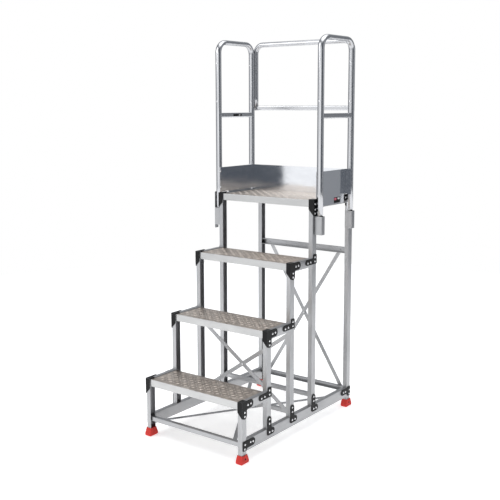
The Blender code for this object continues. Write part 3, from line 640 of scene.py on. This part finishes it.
def raised_bar(bm, x, y, z, turn):
    """Lens-shaped bar of the chequer pattern, sunk a little into the plate."""
    rings = []
    for share, height in BAR_RINGS:
        ring = []
        for k in range(BAR_SIDES):
            t = 2 * pi * k / BAR_SIDES
            u = BAR_LENGTH / 2 * share * cos(t)
            v = BAR_WIDTH / 2 * share * sin(t) * (1 - BAR_TAPER * cos(t) ** 2)
            across, ahead = u * cos(turn) - v * sin(turn), u * sin(turn) + v * cos(turn)
            ring.append(bm.verts.new((x + across, y + ahead, z + height)))
        rings.append(ring)
    for low, high in zip(rings, rings[1:]):
        for k in range(BAR_SIDES):
            after = (k + 1) % BAR_SIDES
            bm.faces.new((low[k], low[after], high[after], high[k]))
    bm.faces.new(rings[0][::-1])
    bm.faces.new(rings[-1])


def build_tread_pattern():
    for number, (low, high) in enumerate(TREAD_BOXES, 1):
        bm = bmesh.new()
        columns = int((high.x - low.x - 2 * BAR_MARGIN) / BAR_PITCH)
        rows = int((high.y - low.y - 2 * BAR_MARGIN) / BAR_PITCH)
        x0 = (low.x + high.x - (columns - 1) * BAR_PITCH) / 2
        y0 = (low.y + high.y - (rows - 1) * BAR_PITCH) / 2
        for row in range(rows):
            for column in range(columns):
                turn = radians(45 if (row + column) % 2 else -45)
                raised_bar(bm, x0 + column * BAR_PITCH, y0 + row * BAR_PITCH, high.z, turn)
        mesh = bpy.data.meshes.new("bars")
        bm.to_mesh(mesh)
        bm.free()
        piece(f"chequer_bars_{number}", mesh, BARS)


# rings of a foot's boot, from the sole up and over into its pocket: height, width, depth
BOOT_RINGS = ((0.0000, 0.0330, 0.0530), (0.0015, 0.0365, 0.0565), (0.0055, 0.0392, 0.0591),
              (0.0095, 0.0394, 0.0589), (0.0180, 0.0384, 0.0550), (0.0300, 0.0364, 0.0480),
              (0.0350, 0.0352, 0.0440), (0.0358, 0.0344, 0.0430), (0.0366, 0.0347, 0.0424),
              (0.0400, 0.0344, 0.0420), (0.0410, 0.0336, 0.0412), (0.0410, 0.0300, 0.0370),
              (0.0360, 0.0298, 0.0368))
BOOT_RADIUS, BOOT_CORNER_STEPS = 0.0035, 5
BOOT_SCREW_X, BOOT_SCREW_Z = 0.0190, 0.022


def build_feet():
    for name in FOOT_NAMES:
        low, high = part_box(name)
        x, y = (low.x + high.x) / 2, (low.y + high.y) / 2
        bm = bmesh.new()
        rings = [[bm.verts.new((x + u, y + v, low.z + z))
                  for u, v in rectangle(wide, deep, BOOT_RADIUS, BOOT_CORNER_STEPS)]
                 for z, wide, deep in BOOT_RINGS]
        count = len(rings[0])
        for lower, upper in zip(rings, rings[1:]):
            for k in range(count):
                bm.faces.new((lower[k], lower[(k + 1) % count], upper[(k + 1) % count], upper[k]))
        bm.faces.new(rings[0][::-1])
        bm.faces.new(rings[-1])
        mesh = bpy.data.meshes.new(name)
        bm.to_mesh(mesh)
        bm.free()
        piece(name.replace("foot", "boot"), mesh, RED, [name])
        sign = 1 if x > 0 else -1
        screw = ((x + sign * BOOT_SCREW_X, y, BOOT_SCREW_Z), (sign, 0, 0))
        # the screw's near-black finish is painted shade of its hole
        heads(name.replace("foot", "boot_screw"), SCREW_PROFILE, [screw], SCREW_PAINTED_SHADE)


# ---------------------------------------------------------------- braces' rivets and labels

def crossing(name):
    low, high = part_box(name)
    return (low + high) / 2


def build_brace_rivets():
    spots = []
    for name in ("middle_brace", "rear_brace"):
        middle = crossing(f"{name}_a")
        front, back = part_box(f"{name}_a")[0].y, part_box(f"{name}_b")[1].y
        spots += [((0, front, middle.z), (0, -1, 0)), ((0, back, middle.z), (0, 1, 0))]
    middle = crossing("base_brace_a")
    spots += [((0, middle.y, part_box("base_brace_b")[1].z), (0, 0, 1)),
              ((0, middle.y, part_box("base_brace_a")[0].z), (0, 0, -1))]
    heads("brace_rivets", RIVET_PROFILE, spots, STEEL)


FILM, FILM_RADIUS, FILM_LIFT = 0.0003, 0.0012, 0.0002   # thickness, corners, gap to the face


def label(name, material, place, width, height):
    """Thin blank film with rounded corners on an outward-facing side."""
    film = extruded([rectangle(width, height, FILM_RADIUS)], FILM, "X", place)
    piece(name, film, material, (), LABEL_EDGE, 1)


def build_labels():
    low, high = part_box("side_midrail_left")
    x, middle = high.x + FILM_LIFT, (low.z + high.z) / 2
    label("rail_label", LABEL_BLACK, (x, 0.282, middle), 0.076, 0.0125)
    label("rail_label_mark", LABEL_WHITE, (x + FILM, 0.300, middle), 0.012, 0.0075)
    x = TOE_X + TOE_SHEET + FILM_LIFT
    label("toe_label", LABEL_BLACK, (x, 0.329, 1.183), 0.062, 0.030)
    label("toe_label_mark_a", LABEL_PINK, (x + FILM, 0.312, 1.189), 0.022, 0.012)
    label("toe_label_mark_b", LABEL_WHITE, (x + FILM, 0.345, 1.190), 0.020, 0.010)


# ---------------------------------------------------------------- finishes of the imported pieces

def finish_packed_pieces():
    finishes = {"post": ALUMINIUM["Z"], "base_bar": ALUMINIUM["X"], "rear_bar": ALUMINIUM["X"],
                "base_brace": ALUMINIUM["X"], "middle_brace": ALUMINIUM["X"], "rear_brace": ALUMINIUM["Z"],
                "nosing": NOSING, "tread": TREAD, "platform_deck": TREAD, "side_midrail": TUBE["Y"],
                "rear_midrail": TUBE["X"], "toe_board_rear": SHEET["X"]}
    for name, obj in NODES.items():
        for start, material in finishes.items():
            if name.startswith(start):
                for slot in obj.material_slots:
                    slot.material = material


# ---------------------------------------------------------------- studio and camera

CAMERA_PLACE = (2.5998, -3.4852, 1.6804)
CAMERA_YAW, CAMERA_PITCH, CAMERA_ROLL = 36.92, -8.12, -0.13
LENS, SENSOR, SHIFT_Y = 60.48, 36.0, -0.05


def build_camera():
    data = bpy.data.cameras.new("camera")
    data.lens, data.sensor_width, data.shift_y = LENS, SENSOR, SHIFT_Y
    camera = bpy.data.objects.new("camera", data)
    turn = Euler((radians(90 + CAMERA_PITCH), 0, radians(CAMERA_YAW))).to_matrix()
    roll = Matrix.Rotation(radians(CAMERA_ROLL), 3, 'Z')
    camera.matrix_world = Matrix.Translation(CAMERA_PLACE) @ (turn @ roll).to_4x4()
    bpy.context.scene.collection.objects.link(camera)
    bpy.context.scene.camera = camera


def area_light(name, place, aim, size, power):
    data = bpy.data.lights.new(name, 'AREA')
    data.shape, data.size, data.size_y = 'RECTANGLE', *size
    data.energy = power
    light = bpy.data.objects.new(name, data)
    light.location = place
    light.rotation_euler = (Vector(aim) - Vector(place)).to_track_quat('-Z', 'Y').to_euler()
    bpy.context.scene.collection.objects.link(light)


# what the object sees around it: direction, sharpness, brightness
SURROUNDINGS = (((-0.55, -0.83, -0.02), 5.0, 1.00),    # white wall, front left
                ((-0.02, -1.00, 0.00), 22.0, 1.00),    # bright panel straight ahead of the steps
                ((-0.60, 0.79, 0.15), 3.0, 0.42),      # grey wall, rear left
                ((0.85, 0.52, -0.05), 4.0, 0.26),      # grey wall, right
                ((0.0, 0.0, 1.0), 6.0, 1.9))           # ceiling light
DIM = (0.108, 0.121, 0.143)                            # everywhere else
AREA_LIGHTS = (("key", (-2.6, -2.6, 3.4), (0, 0, 0.9), (2.4, 2.4), 40),   # place, aim, size, watts
               ("top", (0.2, 0.3, 4.2), (0, 0, 0.5), (3.2, 3.2), 30),
               ("fill", (3.2, 0.4, 2.2), (0, 0, 0.8), (1.8, 2.4), 6))
FLOOR_RADIUS, FLOOR_SEGMENTS = 4.6, 96


def build_world():
    """White to the camera; to the object, a studio with bright walls and a dim side behind the camera."""
    world = bpy.data.worlds.new("studio")
    bpy.context.scene.world = world
    world.use_nodes = True
    tree = world.node_tree
    new, join = tree.nodes.new, tree.links.new
    background = tree.nodes["Background"]
    direction = new("ShaderNodeTexCoord").outputs["Generated"]
    total = None
    for aim, sharpness, brightness in SURROUNDINGS:
        dot = new("ShaderNodeVectorMath")
        dot.operation = 'DOT_PRODUCT'
        join(direction, dot.inputs[0])
        dot.inputs[1].default_value = Vector(aim).normalized()
        value = dot.outputs["Value"]
        for operation, number in (('MAXIMUM', 0.0), ('POWER', sharpness), ('MULTIPLY', brightness)):
            step = new("ShaderNodeMath")
            step.operation = operation
            join(value, step.inputs[0])
            step.inputs[1].default_value = number
            value = step.outputs["Value"]
        if total is not None:
            add = new("ShaderNodeMath")
            join(total, add.inputs[0])
            join(value, add.inputs[1])
            value = add.outputs["Value"]
        total = value
    lit = new("ShaderNodeMix")
    lit.data_type = 'RGBA'
    lit.blend_type = 'ADD'
    lit.inputs["Factor"].default_value = 1.0
    lit.inputs[6].default_value = (*DIM, 1)
    join(total, lit.inputs[7])
    shown = new("ShaderNodeMix")
    shown.data_type = 'RGBA'
    shown.inputs[7].default_value = (1, 1, 1, 1)
    join(new("ShaderNodeLightPath").outputs["Is Camera Ray"], shown.inputs["Factor"])
    join(lit.outputs[2], shown.inputs[6])
    join(shown.outputs[2], background.inputs["Color"])


def build_studio():
    bm = bmesh.new()
    bmesh.ops.create_circle(bm, cap_ends=True, segments=FLOOR_SEGMENTS, radius=FLOOR_RADIUS)
    mesh = bpy.data.meshes.new("floor")
    bm.to_mesh(mesh)
    bm.free()
    mesh.materials.append(floor_finish("studio_floor"))
    floor = bpy.data.objects.new("floor", mesh)
    bpy.context.scene.collection.objects.link(floor)
    build_world()
    for light in AREA_LIGHTS:
        area_light(*light)
    bpy.context.scene.view_settings.view_transform = 'Standard'


finish_packed_pieces()
build_rails()
build_brackets()
build_rivets()
build_handrails()
build_toe_boards()
build_tread_pattern()
build_feet()
build_brace_rivets()
build_labels()
build_camera()
build_studio()
